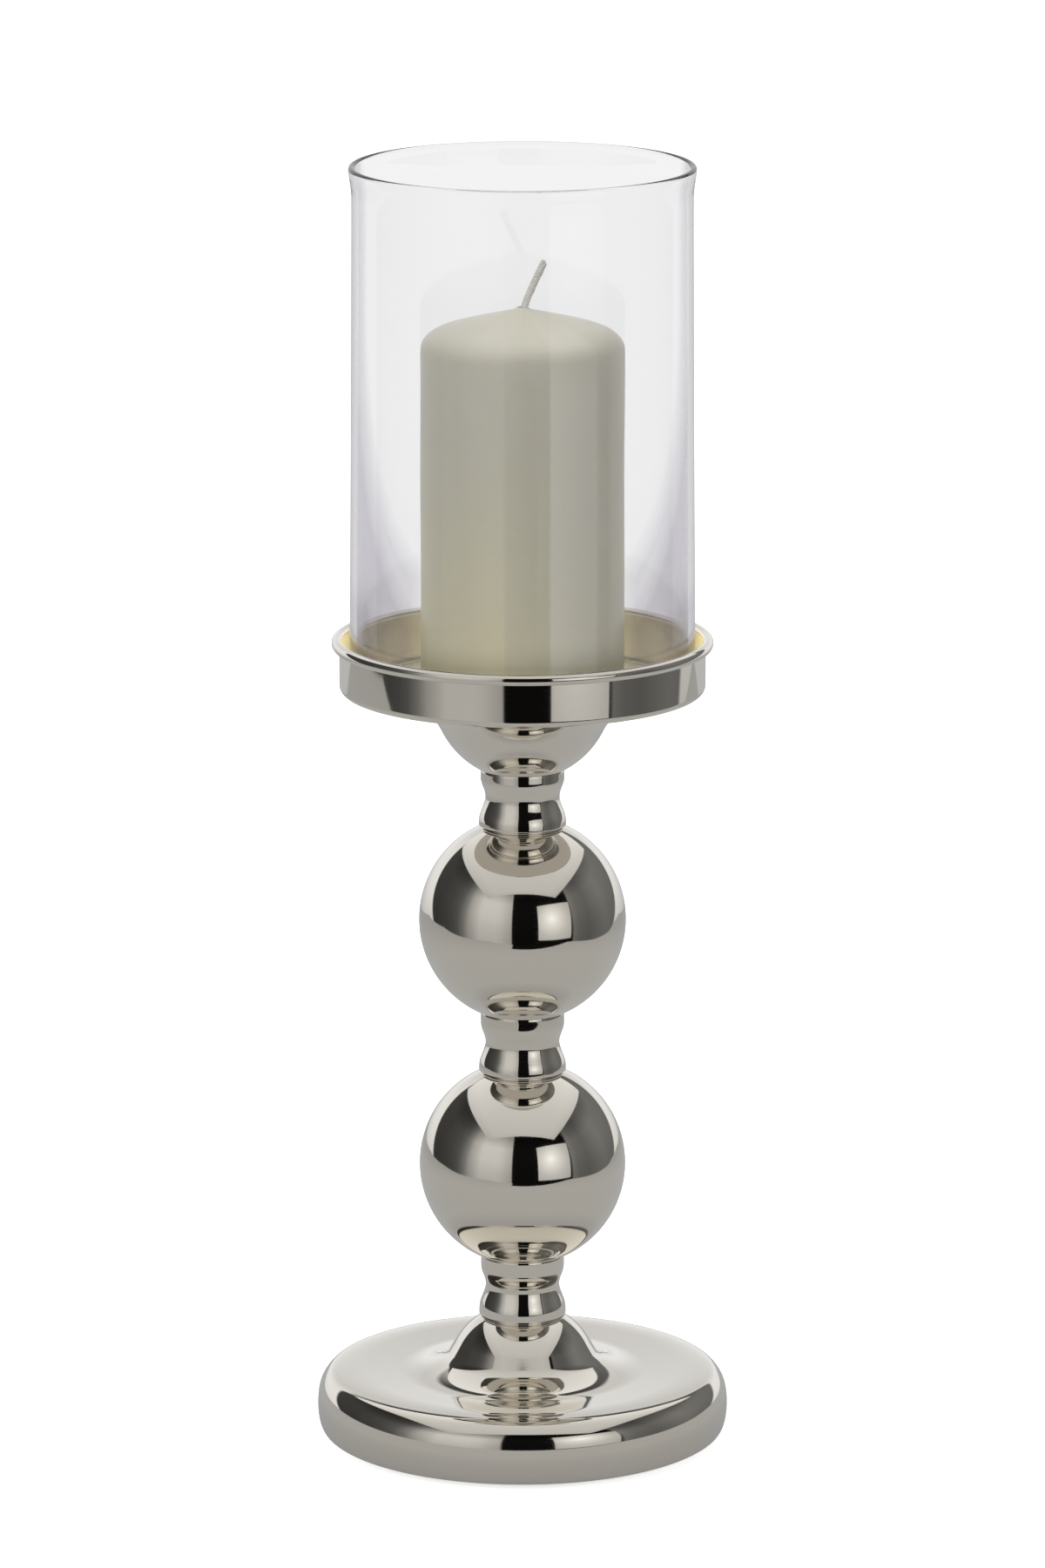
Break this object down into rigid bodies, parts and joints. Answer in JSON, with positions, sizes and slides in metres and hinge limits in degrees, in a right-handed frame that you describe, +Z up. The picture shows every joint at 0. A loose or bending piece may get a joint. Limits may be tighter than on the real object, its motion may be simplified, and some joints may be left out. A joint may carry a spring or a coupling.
{
  "type": "hurricane candle lantern",
  "caption": "Free-standing candle lantern: turned stem of balls and spools on a weighted round base, a cup and rimmed tray, an open glass cylinder and a pillar candle.",
  "frame": {"origin": "centre of the felt foot's underside, on the stem's axis", "axes": "+Z up along the stem, +X to the right and -Y towards someone facing the lantern's front; the wick leans to +X"},
  "size_m": [0.14, 0.14, 0.4375],
  "materials": {
    "nickel_base": "polished nickel plate, mirror bright",
    "nickel_collars": "polished nickel plate, mirror bright",
    "nickel_balls": "polished nickel plate, mirror bright",
    "nickel_cup": "polished nickel plate, mirror bright",
    "nickel_tray": "polished nickel plate, mirror bright",
    "cover": "zinc-plated steel",
    "hardware": "zinc-plated steel",
    "spring_steel": "dark spring steel",
    "ballast": "rough as cast",
    "felt": "dark green wool felt",
    "glass": "clear blown glass, fire-polished rims",
    "wax": "ivory wax, satin, faint vertical mould bands",
    "wick": "braided cotton"
  },
  "bodies": {
    "stand": {"felt_pad": "felt", "base_cover_plate": "cover", "base_weight": "ballast", "base_shell": "nickel_base", "base_nut": "hardware", "base_lock_washer": "spring_steel", "base_washer": "hardware", "tie_rod": "hardware", "collar_lower": "nickel_collars", "ball_lower": "nickel_balls", "collar_middle": "nickel_collars", "ball_upper": "nickel_balls", "collar_upper": "nickel_collars", "cup_bowl": "nickel_cup", "tray_dish": "nickel_tray", "tray_washer": "hardware", "tray_lock_washer": "spring_steel", "tray_nut": "hardware"},
    "glass": {"glass_cylinder": "glass"},
    "candle": {"candle_wax": "wax", "candle_wick": "wick"}
  },
  "joints": [
    {"name": "glass_lift", "type": "slide", "parent": "stand", "child": "glass", "axis": [0, 0, 1], "range_m": [0, 0.2]},
    {"name": "candle_lift", "type": "slide", "parent": "stand", "child": "candle", "axis": [0, 0, 1], "range_m": [0, 0.2]}
  ]
}
